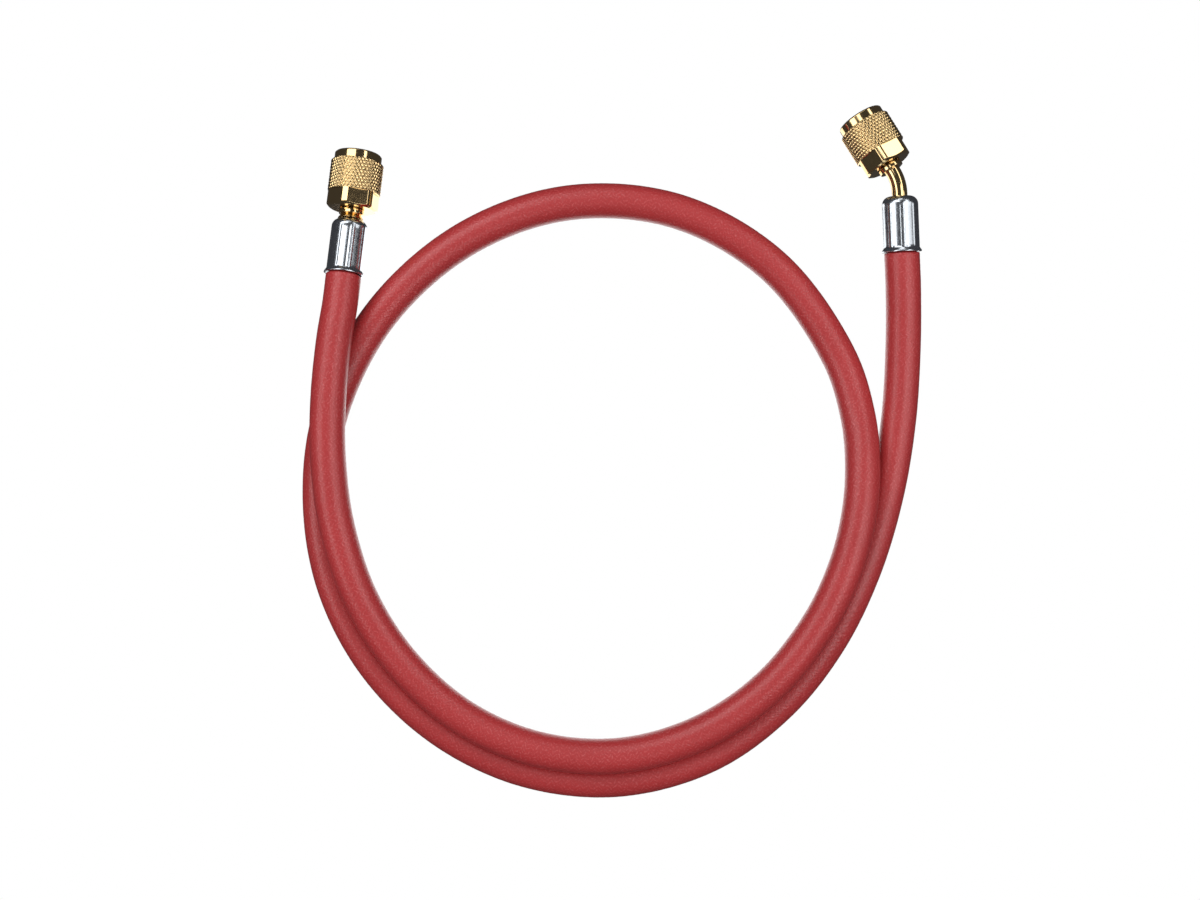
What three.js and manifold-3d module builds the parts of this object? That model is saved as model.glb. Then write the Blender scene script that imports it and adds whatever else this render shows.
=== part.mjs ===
// A refrigerant charging hose: a red rubber hose with a crimped steel ferrule, a brass tail and
// a swivelling brass flare nut at each end. One end leaves straight, the other at an elbow.
// Millimetres, +Z up. The hose lies in one loop and a bit on the plane z = 0.
import * as THREE from 'three';
import { mergeVertices } from 'three/addons/utils/BufferGeometryUtils.js';
import Module from 'manifold-3d';

// Gaps
const fitGap = 0.3; // between pieces that touch
const swivelGap = 0.35; // between a tail and the nut that turns on it

// Hose
const hoseDiameter = 12.7;
const hoseBore = 5.0;
const hoseSides = 12;
const boreSides = 8;
const hoseSteps = 76;
const boreSqueeze = 0.5; // how much a ferrule narrows the bore
const stubJoin = 2.0; // how far the squeezed stub reaches back into the full hose

// Ferrules, measured from the lip at the hose end
const ferruleLength = 20.0;
const ferruleOversize = 0.2; // of the crimped body over the hose
const ferruleWall = 0.85;
const ferruleTopWall = 1.2;
const lipRise = 0.7; // of the belled lip over the body
const lipLength = 0.4;
const lipTaper = 1.1;
const shoulderRadius = 3.0; // of the domed end
const cornerChamfer = 0.8; // inside the domed end, and on the hose's end in it
const crimpCount = 8;
const crimpDepth = 0.25;
const crimpLipMargin = 1.6; // uncrimped length at the lip
const crimpDomeMargin = 3.0; // and at the dome

// Tails: a barbed stem in the hose, a tube, a collar behind the nut, a neck in it, a head and a nipple
const stemStart = 1.5; // from the lip
const barbCount = 4;
const barbHeight = 0.3;
const stemWall = 0.55;
const tubeDiameter = 5.5;
const neckRise = 0.7; // of the neck over the tube
const collarRise = 1.0; // of the collar over the neck
const collarLength = 1.6;
const footRise = 1.2; // of the straight tail's conical foot over the neck, where it sits on the ferrule
const footLength = 1.7;
const headLength = 3.7;
const headChamfer = 0.6;
const nippleLength = 2.5;
const nippleWall = 0.45; // round the recess in its front
const seatDepth = 1.4;

// Elbow in the bent tail
const bendAngle = THREE.MathUtils.degToRad(30);
const bendRadius = 16.0; // to the tube's middle
const bendRings = 8;
const tubeBeforeBend = 1.0;
const tubeAfterBend = 0.7;

// Flare nuts, measured from the back face
const hexLength = 6.0;
const hexAcrossFlats = 17.0;
const barDiameter = 18.5; // the round bar that the hexagon is milled from
const backChamfer = 0.8;
const backFaceInset = 0.6; // of the back face within the flats
const knurlRise = 0.25; // of the knurled grip over the bar
const knurlLength = 11.4;
const knurlChamfer = 0.4;
const mouthCollarStep = 0.8; // down from the bar
const mouthCollarLength = 3.2;
const mouthChamfer = 0.5;
const nutBackWall = 3.0;
const threadBore = 9.9; // minor diameter of a 7/16-20 UNF thread
const threadLead = 0.65; // chamfer at the thread's mouth

// Seal rings and core depressor
const ringThickness = 2.2;
const ringWidth = 1.45;
const depressorBarWidth = 1.4;
const depressorBarThickness = 1.0;
const depressorPinDiameter = 1.6;
const depressorPinLength = 3.0;

// How round things are divided
const nutSegments = 36;
const ferruleSegments = 32;
const tailSegments = 16;
const ringSegments = 24;
const pinSegments = 12;
const shoulderSteps = 4;
const mergeTolerance = 1e-4;

// The hose's middle line, from the straight end to the elbow end
const hoseRoute = [
  [-100.3, -30.3, 14.8], [-101.4, -40.8, 16.2], [-103.3, -53.8, 17.9], [-105.1, -74.6, 19.4],
  [-105.3, -94.6, 19.1], [-102.5, -119.4, 17.4], [-94.0, -146.1, 16.1], [-78.7, -169.9, 15.5],
  [-57.1, -188.9, 15.3], [-30.2, -200.3, 15.2], [-0.8, -202.4, 15.0], [27.5, -194.4, 15.1],
  [51.4, -178.2, 16.1], [69.3, -156.1, 16.7], [79.3, -135.3, 16.7], [84.3, -116.2, 15.8],
  [86.0, -98.1, 13.0], [84.7, -79.7, 8.6], [78.0, -58.6, 6.9], [54.8, -26.5, 6.4],
  [20.0, -6.5, 6.4], [-20.0, -3.3, 6.4], [-57.5, -16.6, 6.4], [-88.1, -43.9, 6.4],
  [-106.0, -79.1, 6.4], [-110.0, -110.2, 6.4], [-105.0, -141.8, 6.4], [-90.1, -170.8, 6.4],
  [-66.3, -194.1, 6.4], [-35.8, -208.9, 6.4], [-1.9, -212.5, 6.4], [31.1, -203.6, 6.4],
  [56.8, -185.0, 6.4], [74.8, -162.2, 6.4], [87.3, -136.5, 6.4], [95.6, -108.7, 6.4],
  [100.0, -81.4, 6.7], [101.3, -55.0, 8.5], [100.9, -34.7, 11.2], [100.3, -22.0, 11.9],
];

// How far each end is turned about its own axis
const elbowRoll = THREE.MathUtils.degToRad(-25); // the bend's side, down from level
const straightNutTurn = THREE.MathUtils.degToRad(-11);
const elbowNutTurn = THREE.MathUtils.degToRad(11);

// Sizes that follow from the ones above
const ferruleDiameter = hoseDiameter + ferruleOversize;
const ferruleInside = ferruleDiameter - 2 * ferruleWall;
const stubDiameter = ferruleInside - 2 * fitGap;
const stubBore = hoseBore - boreSqueeze;
const stubLength = ferruleLength - ferruleTopWall;
const barbDiameter = stubBore - 2 * fitGap;
const stemDiameter = barbDiameter - 2 * barbHeight;
const tailBore = stemDiameter - 2 * stemWall;
const neckDiameter = tubeDiameter + 2 * neckRise;
const collarDiameter = neckDiameter + 2 * collarRise;
const footDiameter = neckDiameter + 2 * footRise;
const headDiameter = threadBore - 2 * swivelGap;
const ringOutside = threadBore - 2 * fitGap;
const ringInside = ringOutside - 2 * ringWidth;
const nippleDiameter = ringInside - 2 * fitGap;
const seatDiameter = nippleDiameter - 2 * nippleWall;
const depressorBarLength = Math.sqrt((seatDiameter - 2 * fitGap) ** 2 - depressorBarWidth ** 2);
const knurlDiameter = barDiameter + 2 * knurlRise;
const mouthCollarDiameter = barDiameter - 2 * mouthCollarStep;
const nutLength = hexLength + knurlLength + mouthCollarLength;

// Materials
const metal = (color, roughness) => new THREE.MeshStandardMaterial({ color, roughness, metalness: 1 });
const rubber = (color, roughness) => new THREE.MeshStandardMaterial({ color, roughness, metalness: 0 });
const redRubber = rubber(0xb34545, 0.6);
const blackRubber = rubber(0x1c1c1c, 0.7);
const zincSteel = metal(0xc4cad2, 0.25);
const brass = metal(0xd2a54c, 0.25);

const wasm = await Module();
wasm.setup();

// A closed geometry as a solid that can be joined and cut.
function toSolid(geometry) {
  const bare = geometry.clone();
  bare.deleteAttribute('normal');
  bare.deleteAttribute('uv');
  const merged = mergeVertices(bare, mergeTolerance);
  const vertProperties = merged.attributes.position.array;
  const triVerts = merged.index.array;
  return new wasm.Manifold(new wasm.Mesh({ numProp: 3, vertProperties, triVerts }));
}

function toGeometry(solid) {
  const { vertProperties, numProp, triVerts } = solid.getMesh();
  const geometry = new THREE.BufferGeometry();
  geometry.setAttribute('position', new THREE.BufferAttribute(vertProperties, numProp));
  geometry.setIndex(new THREE.BufferAttribute(triVerts, 1));
  geometry.computeVertexNormals();
  return geometry;
}

// A ring turned about +Z from a closed outline of [diameter, z] points.
function turned(outline, segments) {
  const points = [...outline, outline[0]].map(([diameter, z]) => new THREE.Vector2(diameter / 2, z));
  return new THREE.LatheGeometry(points, segments).rotateX(Math.PI / 2);
}

// A body with flats cut round +Z, from one height to another.
function withFlats(geometry, { count, acrossFlats, from, to }) {
  const depth = acrossFlats / 2;
  let solid = toSolid(geometry);
  for (let i = 0; i < count; i += 1) {
    const cutter = new THREE.BoxGeometry(depth, acrossFlats, to - from);
    cutter.translate((acrossFlats + depth) / 2, 0, (from + to) / 2);
    cutter.rotateZ((i * 2 * Math.PI) / count);
    solid = solid.subtract(toSolid(cutter));
  }
  return toGeometry(solid);
}

function polygon(diameter, sides) {
  const corner = (_, i) => {
    const angle = (i * 2 * Math.PI) / sides;
    return new THREE.Vector2(Math.cos(angle), Math.sin(angle)).multiplyScalar(diameter / 2);
  };
  return Array.from({ length: sides }, corner);
}

// The frame of a ferrule's lip: +Z out of the hose, +X level and +Y up before the roll.
function lipFrame(hoseEnd, outward, roll) {
  const z = outward.clone().normalize();
  const x = new THREE.Vector3(0, 0, 1).cross(z).normalize();
  const y = z.clone().cross(x);
  const frame = new THREE.Group();
  frame.position.copy(hoseEnd).addScaledVector(z, fitGap);
  frame.quaternion.setFromRotationMatrix(new THREE.Matrix4().makeBasis(x, y, z));
  frame.rotateZ(roll);
  return frame;
}

// The hose: full size from lip to lip, and squeezed where each ferrule holds it.
function hoseGeometry(route, frames) {
  const section = new THREE.Shape(polygon(hoseDiameter, hoseSides));
  section.holes.push(new THREE.Path(polygon(hoseBore, boreSides)));
  const tube = new THREE.ExtrudeGeometry(section, { steps: hoseSteps, extrudePath: route });
  const stub = turned([
    [stubBore, -fitGap - stubJoin],
    [stubDiameter, -fitGap - stubJoin],
    [stubDiameter, stubLength - fitGap - cornerChamfer],
    [stubDiameter - 2 * cornerChamfer, stubLength - fitGap],
    [stubBore, stubLength - fitGap],
  ], tailSegments);
  let solid = toSolid(tube);
  for (const frame of frames) {
    frame.updateMatrix();
    solid = solid.add(toSolid(stub.clone().applyMatrix4(frame.matrix)));
  }
  return toGeometry(solid);
}

// The crimped shell: a cup with a domed end, a belled lip and a hole for the tail.
function ferruleGeometry() {
  const dome = [];
  for (let i = 0; i <= shoulderSteps; i += 1) {
    const angle = (i / shoulderSteps) * (Math.PI / 2);
    const inset = shoulderRadius * (1 - Math.cos(angle));
    dome.push([ferruleDiameter - 2 * inset, ferruleLength - shoulderRadius * (1 - Math.sin(angle))]);
  }
  const hole = tubeDiameter + 2 * fitGap;
  const roof = ferruleLength - ferruleTopWall;
  const cup = turned([
    [ferruleDiameter + 2 * lipRise, 0],
    [ferruleDiameter + 2 * lipRise, lipLength],
    [ferruleDiameter, lipLength + lipTaper],
    ...dome,
    [hole, ferruleLength],
    [hole, roof],
    [ferruleInside - 2 * cornerChamfer, roof],
    [ferruleInside, roof - cornerChamfer],
    [ferruleInside, lipLength + lipTaper],
    [ferruleInside + 2 * lipRise, 0],
  ], ferruleSegments);
  const from = crimpLipMargin;
  const to = ferruleLength - crimpDomeMargin;
  return withFlats(cup, { count: crimpCount, acrossFlats: ferruleDiameter - 2 * crimpDepth, from, to });
}

// The heights along a tail, measured from the ferrule's lip as if the tail were straight.
function tailLevels(bent) {
  const bendStart = ferruleLength + tubeBeforeBend;
  const bendEnd = bendStart + bendRadius * bendAngle;
  const footStart = ferruleLength + fitGap;
  const collarStart = bent ? bendEnd + tubeAfterBend : footStart + footLength;
  const collarEnd = collarStart + collarLength;
  const nutBack = collarEnd + fitGap;
  const headBack = nutBack + nutBackWall + fitGap;
  const headFront = headBack + headLength;
  const tip = headFront + nippleLength;
  return { bendStart, bendEnd, footStart, collarStart, collarEnd, nutBack, headBack, headFront, tip };
}

// The tail's outline, up the outside and back down the bore.
function tailOutline(levels, bent) {
  const barbPitch = (stubLength - stemStart) / (barbCount + 1);
  const barbs = [];
  for (let i = 1; i <= barbCount; i += 1) {
    const step = stemStart + i * barbPitch;
    barbs.push([barbDiameter, step], [stemDiameter, step]);
  }
  const rings = [];
  for (let i = 0; bent && i <= bendRings; i += 1) {
    rings.push(THREE.MathUtils.lerp(levels.bendStart, levels.bendEnd, i / bendRings));
  }
  const foot = [
    [tubeDiameter, levels.footStart],
    [footDiameter, levels.footStart],
    [neckDiameter, levels.collarStart],
  ];
  const bend = [...rings.map((z) => [tubeDiameter, z]), [tubeDiameter, levels.collarStart]];
  return [
    [stemDiameter, stemStart],
    ...barbs,
    [stemDiameter, stubLength],
    [tubeDiameter, stubLength],
    ...(bent ? bend : foot),
    [collarDiameter, levels.collarStart],
    [collarDiameter, levels.collarEnd],
    [neckDiameter, levels.collarEnd],
    [neckDiameter, levels.headBack],
    [headDiameter, levels.headBack],
    [headDiameter, levels.headFront - headChamfer],
    [headDiameter - 2 * headChamfer, levels.headFront],
    [nippleDiameter, levels.headFront],
    [nippleDiameter, levels.tip],
    [seatDiameter, levels.tip],
    [seatDiameter, levels.tip - seatDepth],
    [tailBore, levels.tip - seatDepth],
    ...rings.reverse().map((z) => [tailBore, z]),
    [tailBore, stemStart],
  ];
}

// Where a point of the straight tail goes when the tail is bent towards +X.
function bendPoint({ x, y, z }, levels) {
  const along = THREE.MathUtils.clamp(z, levels.bendStart, levels.bendEnd) - levels.bendStart;
  const past = z - levels.bendStart - along;
  const angle = along / bendRadius;
  const [sin, cos] = [Math.sin(angle), Math.cos(angle)];
  return new THREE.Vector3(
    bendRadius * (1 - cos) + x * cos + past * sin,
    y,
    levels.bendStart + bendRadius * sin - x * sin + past * cos,
  );
}

function tailGeometry(levels, bent) {
  const geometry = turned(tailOutline(levels, bent), tailSegments);
  if (!bent) return geometry;
  const positions = geometry.attributes.position;
  const point = new THREE.Vector3();
  for (let i = 0; i < positions.count; i += 1) {
    point.fromBufferAttribute(positions, i);
    positions.setXYZ(i, ...bendPoint(point, levels));
  }
  geometry.computeVertexNormals();
  return geometry;
}

// The flare nut: hexagon, knurled grip as a plain band, mouth collar and stepped bore.
function nutGeometry() {
  const hole = neckDiameter + 2 * swivelGap;
  const knurlEnd = hexLength + knurlLength;
  const body = turned([
    [hole, 0],
    [hexAcrossFlats - 2 * backFaceInset, 0],
    [barDiameter, backChamfer],
    [barDiameter, hexLength],
    [knurlDiameter, hexLength + knurlRise],
    [knurlDiameter, knurlEnd - knurlChamfer],
    [knurlDiameter - 2 * knurlChamfer, knurlEnd],
    [mouthCollarDiameter, knurlEnd],
    [mouthCollarDiameter, nutLength - mouthChamfer],
    [mouthCollarDiameter - 2 * mouthChamfer, nutLength],
    [threadBore + 2 * threadLead, nutLength],
    [threadBore, nutLength - threadLead],
    [threadBore, nutBackWall],
    [hole, nutBackWall],
  ], nutSegments);
  return withFlats(body, { count: 6, acrossFlats: hexAcrossFlats, from: -backChamfer, to: hexLength });
}

function sealRingGeometry() {
  return turned([
    [ringInside, 0],
    [ringOutside, 0],
    [ringOutside, ringThickness],
    [ringInside, ringThickness],
  ], ringSegments);
}

// The bar that lies in the nipple's recess, with the pin that opens a valve core.
function coreDepressorGeometry() {
  const bar = new THREE.BoxGeometry(depressorBarLength, depressorBarWidth, depressorBarThickness);
  bar.translate(0, 0, depressorBarThickness / 2);
  const radius = depressorPinDiameter / 2;
  const length = depressorPinLength + depressorBarThickness / 2;
  const pin = new THREE.CylinderGeometry(radius, radius, length, pinSegments);
  pin.rotateX(Math.PI / 2).translate(0, 0, (length + depressorBarThickness) / 2);
  return toGeometry(toSolid(bar).add(toSolid(pin)));
}

function named(name, geometry, material, z = 0) {
  const mesh = new THREE.Mesh(geometry, material);
  mesh.name = name;
  mesh.position.z = z;
  return mesh;
}

// A ferrule, its tail, and what sits on the tail's far end: the nut and the seal ring.
function hoseEnd(name, frame, { bent, nutTurn }) {
  const levels = tailLevels(bent);
  frame.add(named(`${name}_ferrule`, ferruleGeometry(), zincSteel));
  frame.add(named(`${name}_tail`, tailGeometry(levels, bent), brass));
  const head = new THREE.Group();
  const back = new THREE.Vector3(0, 0, levels.nutBack);
  head.position.copy(bent ? bendPoint(back, levels) : back);
  head.rotation.y = bent ? bendAngle : 0;
  const nut = named(`${name}_nut`, nutGeometry(), brass);
  nut.rotation.z = nutTurn;
  const ringSeat = levels.headFront + fitGap - levels.nutBack;
  head.add(nut, named(`${name}_seal_ring`, sealRingGeometry(), blackRubber, ringSeat));
  if (bent) {
    const barSeat = levels.tip - seatDepth + fitGap - levels.nutBack;
    head.add(named('core_depressor', coreDepressorGeometry(), brass, barSeat));
  }
  return frame.add(head);
}

const route = new THREE.CatmullRomCurve3(hoseRoute.map((point) => new THREE.Vector3(...point)));
const straightFrame = lipFrame(route.getPoint(0), route.getTangent(0).negate(), 0);
const elbowFrame = lipFrame(route.getPoint(1), route.getTangent(1), elbowRoll);
const chargingHose = new THREE.Group();
chargingHose.add(named('hose', hoseGeometry(route, [straightFrame, elbowFrame]), redRubber));
chargingHose.add(hoseEnd('straight', straightFrame, { bent: false, nutTurn: straightNutTurn }));
chargingHose.add(hoseEnd('elbow', elbowFrame, { bent: true, nutTurn: elbowNutTurn }));

export default chargingHose;
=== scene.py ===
"""Looks of a refrigerant charging hose: a red cloth-marked rubber hose laid in a loop, with a crimped
zinc-plated ferrule, a brass tail and a knurled brass flare nut at each end. Metres, +Z up."""

import math

import bmesh
import bpy
import numpy as np
from bpy.props import FloatProperty, FloatVectorProperty, IntProperty, PointerProperty
from bpy.types import Operator, Panel, PropertyGroup
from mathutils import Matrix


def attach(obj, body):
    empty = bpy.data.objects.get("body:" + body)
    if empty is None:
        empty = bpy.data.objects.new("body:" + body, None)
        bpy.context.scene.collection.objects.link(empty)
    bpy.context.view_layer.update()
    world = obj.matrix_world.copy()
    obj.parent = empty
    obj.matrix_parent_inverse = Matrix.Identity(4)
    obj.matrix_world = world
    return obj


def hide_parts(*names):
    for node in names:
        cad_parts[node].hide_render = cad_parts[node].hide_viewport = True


bl_info = {
    "name": "Refrigerant charging hose",
    "version": (1, 0, 0),
    "blender": (4, 5, 0),
    "location": "View3D > Sidebar > Hose",
    "description": "Builds the hose, its ferrules, tails and flare nuts, and the light they are shown in",
    "category": "Object",
}

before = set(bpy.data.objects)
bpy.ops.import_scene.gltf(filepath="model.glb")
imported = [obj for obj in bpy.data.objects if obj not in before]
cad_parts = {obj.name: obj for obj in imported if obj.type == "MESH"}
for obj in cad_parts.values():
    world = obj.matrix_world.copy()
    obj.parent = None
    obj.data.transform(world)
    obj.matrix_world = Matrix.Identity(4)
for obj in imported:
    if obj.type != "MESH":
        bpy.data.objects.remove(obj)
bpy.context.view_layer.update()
MM = 0.001

# The hose's middle line in millimetres, from the straight end to the elbow end
HOSE_ROUTE = np.array([
    (-100.3, -30.3, 14.8), (-101.4, -40.8, 16.2), (-103.3, -53.8, 17.9), (-105.1, -74.6, 19.4),
    (-105.3, -94.6, 19.1), (-102.5, -119.4, 17.4), (-94.0, -146.1, 16.1), (-78.7, -169.9, 15.5),
    (-57.1, -188.9, 15.3), (-30.2, -200.3, 15.2), (-0.8, -202.4, 15.0), (27.5, -194.4, 15.1),
    (51.4, -178.2, 16.1), (69.3, -156.1, 16.7), (79.3, -135.3, 16.7), (84.3, -116.2, 15.8),
    (86.0, -98.1, 13.0), (84.7, -79.7, 8.6), (78.0, -58.6, 6.9), (54.8, -26.5, 6.4),
    (20.0, -6.5, 6.4), (-20.0, -3.3, 6.4), (-57.5, -16.6, 6.4), (-88.1, -43.9, 6.4),
    (-106.0, -79.1, 6.4), (-110.0, -110.2, 6.4), (-105.0, -141.8, 6.4), (-90.1, -170.8, 6.4),
    (-66.3, -194.1, 6.4), (-35.8, -208.9, 6.4), (-1.9, -212.5, 6.4), (31.1, -203.6, 6.4),
    (56.8, -185.0, 6.4), (74.8, -162.2, 6.4), (87.3, -136.5, 6.4), (95.6, -108.7, 6.4),
    (100.0, -81.4, 6.7), (101.3, -55.0, 8.5), (100.9, -34.7, 11.2), (100.3, -22.0, 11.9),
]) * MM

# Gaps between the pieces
FIT_GAP = 0.3 * MM
SWIVEL_GAP = 0.35 * MM

# Squeezed ends of the hose
BORE_SQUEEZE = 0.5 * MM

# Ferrules, measured from the lip
FERRULE_LENGTH = 20.0 * MM
FERRULE_WALL = 0.85 * MM
FERRULE_TOP_WALL = 1.2 * MM
LIP_RISE = 0.7 * MM
LIP_LENGTH = 0.4 * MM
LIP_TAPER = 1.1 * MM
SHOULDER_RADIUS = 3.0 * MM
CORNER_CHAMFER = 0.8 * MM
CRIMP_LIP_MARGIN = 1.6 * MM
CRIMP_DOME_MARGIN = 3.0 * MM

# Tails
STEM_START = 1.5 * MM
BARB_COUNT = 4
BARB_HEIGHT = 0.3 * MM
STEM_WALL = 0.55 * MM
NECK_RISE = 0.7 * MM
COLLAR_RISE = 1.0 * MM
COLLAR_LENGTH = 1.6 * MM
FOOT_RISE = 1.2 * MM
FOOT_LENGTH = 1.7 * MM
HEAD_LENGTH = 3.7 * MM
HEAD_CHAMFER = 0.6 * MM
NIPPLE_LENGTH = 2.5 * MM
NIPPLE_WALL = 0.45 * MM
SEAT_DEPTH = 1.4 * MM

# Elbow
BEND_ANGLE = math.radians(30)
BEND_RADIUS = 16.0 * MM
TUBE_BEFORE_BEND = 1.0 * MM
TUBE_AFTER_BEND = 0.7 * MM

# Flare nuts, measured from the back face
HEX_LENGTH = 6.0 * MM
BACK_CHAMFER = 0.8 * MM
BACK_FACE_INSET = 0.6 * MM
KNURL_LENGTH = 11.4 * MM
KNURL_CHAMFER = 0.4 * MM
MOUTH_COLLAR_STEP = 0.8 * MM
MOUTH_COLLAR_LENGTH = 3.2 * MM
MOUTH_CHAMFER = 0.5 * MM
NUT_BACK_WALL = 3.0 * MM
NUT_LENGTH = HEX_LENGTH + KNURL_LENGTH + MOUTH_COLLAR_LENGTH
THREAD_BORE = 9.9 * MM
THREAD_MAJOR = 11.1 * MM
THREAD_PITCH = 1.27 * MM
THREAD_LEAD = 0.65 * MM

# Seal rings and core depressor
RING_THICKNESS = 2.2 * MM
RING_WIDTH = 1.45 * MM
RING_OUTER = THREAD_BORE - 2 * FIT_GAP
RING_INNER = RING_OUTER - 2 * RING_WIDTH
NIPPLE = RING_INNER - 2 * FIT_GAP
DEPRESSOR_BAR = (4.07 * MM, 1.4 * MM, 1.0 * MM)
DEPRESSOR_PIN_RADIUS = 0.8 * MM
DEPRESSOR_PIN_LENGTH = 3.0 * MM

# How far each end is turned about its own axis
ELBOW_ROLL = math.radians(-25)
STRAIGHT_NUT_TURN = math.radians(-11)
ELBOW_NUT_TURN = math.radians(11)


class HoseSettings(PropertyGroup):
    """Size and colour of the hose."""

    diameter: FloatProperty(
        name="Diameter", description="Outside diameter of the hose", default=12.7 * MM, unit="LENGTH"
    )
    bore: FloatProperty(name="Bore", description="Inside diameter", default=5.0 * MM, unit="LENGTH")
    relief: FloatProperty(
        name="Cloth relief", description="Height of the cloth marks", default=0.06 * MM, unit="LENGTH"
    )
    marks: IntProperty(name="Cloth marks", description="Cloth marks round the hose", default=24)
    colour: FloatVectorProperty(
        name="Rubber", description="Colour of the rubber", default=(0.44, 0.036, 0.038), subtype="COLOR"
    )


class FerruleSettings(PropertyGroup):
    """Size and colour of the crimped ferrules."""

    diameter: FloatProperty(
        name="Diameter", description="Outside diameter of the body", default=12.9 * MM, unit="LENGTH"
    )
    crimps: IntProperty(name="Crimps", description="Pressed flats round the body", default=8)
    crimp_depth: FloatProperty(
        name="Crimp depth", description="Depth of the pressed flats", default=0.25 * MM, unit="LENGTH"
    )
    colour: FloatVectorProperty(
        name="Zinc", description="Colour of the zinc plating", default=(0.60, 0.64, 0.68), subtype="COLOR"
    )


class BrassSettings(PropertyGroup):
    """Size and colour of the brass nuts and tails."""

    flats: FloatProperty(
        name="Across flats", description="Width of the hexagon", default=17.0 * MM, unit="LENGTH"
    )
    bar: FloatProperty(
        name="Bar", description="Round bar the nut is cut from", default=18.5 * MM, unit="LENGTH"
    )
    knurl: FloatProperty(
        name="Knurl", description="Diameter over the knurl", default=19.0 * MM, unit="LENGTH"
    )
    knurl_depth: FloatProperty(
        name="Knurl depth", description="Depth of its grooves", default=0.42 * MM, unit="LENGTH"
    )
    knurl_lines: IntProperty(name="Knurl lines", description="Lines of each hand round it", default=44)
    knurl_angle: FloatProperty(
        name="Knurl angle", description="Angle of its lines to the axis", default=math.radians(30),
        subtype="ANGLE",
    )
    tube: FloatProperty(
        name="Tube", description="Diameter of the tail's tube", default=5.5 * MM, unit="LENGTH"
    )
    colour: FloatVectorProperty(
        name="Brass", description="Colour of the brass", default=(0.84, 0.60, 0.29), subtype="COLOR"
    )


class StageSettings(PropertyGroup):
    """Camera and light."""

    lens: FloatProperty(name="Lens", description="Focal length in millimetres", default=54.0)
    height: FloatProperty(
        name="Height", description="Height of the camera above the floor", default=0.66, unit="LENGTH"
    )
    light: FloatProperty(name="Light", description="Radiance of the soft boxes", default=2.6)


# Curves and frames


def catmull_rom(points, count):
    """Centripetal Catmull-Rom curve: each span is the cubic whose end tangents come from the chords on both
    sides, each chord divided by the root of its length. The points are even in the curve's parameter."""
    ends = 2 * points[[0, -1]] - points[[1, -2]]
    p = np.vstack([ends[:1], points, ends[1:]])
    d = np.sqrt(np.linalg.norm(np.diff(p, axis=0), axis=1))[:, None]
    t = np.linspace(0, len(points) - 1, count)
    i = np.minimum(t.astype(int), len(points) - 2)
    u = (t - i)[:, None]
    p0, p1, p2, p3 = (p[i + k] for k in range(4))
    d0, d1, d2 = (d[i + k] for k in range(3))
    t1 = d1 * ((p1 - p0) / d0 - (p2 - p0) / (d0 + d1) + (p2 - p1) / d1)
    t2 = d1 * ((p2 - p1) / d1 - (p3 - p1) / (d1 + d2) + (p3 - p2) / d2)
    return p1 + t1 * u + (3 * (p2 - p1) - 2 * t1 - t2) * u**2 + (2 * (p1 - p2) + t1 + t2) * u**3


def arc_lengths(points):
    """Distance along a polyline at each of its points."""
    return np.concatenate([[0], np.cumsum(np.linalg.norm(np.diff(points, axis=0), axis=1))])


def evenly(points, count, trim=0.0):
    """count points at equal distances along a polyline, starting and ending trim short of its ends."""
    s = arc_lengths(points)
    at = np.linspace(trim, s[-1] - trim, count)
    return np.stack([np.interp(at, s, points[:, k]) for k in range(3)], axis=1)


def unit(v):
    """The vectors at length one."""
    return v / np.linalg.norm(v, axis=-1, keepdims=True)


def turned(matrix, angle):
    """A frame turned about its own +Z."""
    c, s = math.cos(angle), math.sin(angle)
    return matrix @ np.array([(c, -s, 0, 0), (s, c, 0, 0), (0, 0, 1, 0), (0, 0, 0, 1)])


def lip_frame(end, outward, roll):
    """The frame of a ferrule's lip: +Z out of the hose, +X level and +Y up before the roll."""
    z = unit(outward)
    x = unit(np.cross((0, 0, 1), z))
    m = np.eye(4)
    m[:3, 0], m[:3, 1], m[:3, 2], m[:3, 3] = x, np.cross(z, x), z, end + FIT_GAP * z
    return turned(m, roll)


def along(matrix, distance):
    """A frame moved along its own +Z."""
    moved = matrix.copy()
    moved[:3, 3] += distance * matrix[:3, 2]
    return moved


def bent(points, start):
    """Points bent towards +X: from start on, the height is wound round an arc of the bend's radius as far as
    the bend's angle, and what lies beyond goes on straight."""
    x, y, z = points.T
    wound = np.clip(z - start, 0, BEND_RADIUS * BEND_ANGLE)
    past = z - start - wound
    c, s = np.cos(wound / BEND_RADIUS), np.sin(wound / BEND_RADIUS)
    across = BEND_RADIUS * (1 - c) + x * c + past * s
    return np.stack([across, y, start + BEND_RADIUS * s - x * s + past * c], 1)


def bent_frame(matrix, level, start):
    """The frame at a level of a bent tail, turned with the bend."""
    local = np.eye(4)
    c, s = math.cos(BEND_ANGLE), math.sin(BEND_ANGLE)
    local[:3, 0], local[:3, 2] = (c, 0, -s), (s, 0, c)
    local[:3, 3] = bent(np.array([(0.0, 0.0, level)]), start)[0]
    return matrix @ local


def placed(points, matrix):
    """Points of a local frame in the row frame."""
    return points @ matrix[:3, :3].T + matrix[:3, 3]


CURVE_SAMPLES = 16001
ROUTE_POINTS = 8001
ROUTE = evenly(catmull_rom(HOSE_ROUTE, CURVE_SAMPLES), ROUTE_POINTS)
STRAIGHT_LIP = lip_frame(ROUTE[0], ROUTE[0] - ROUTE[1], 0.0)
ELBOW_LIP = lip_frame(ROUTE[-1], ROUTE[-1] - ROUTE[-2], ELBOW_ROLL)

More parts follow.
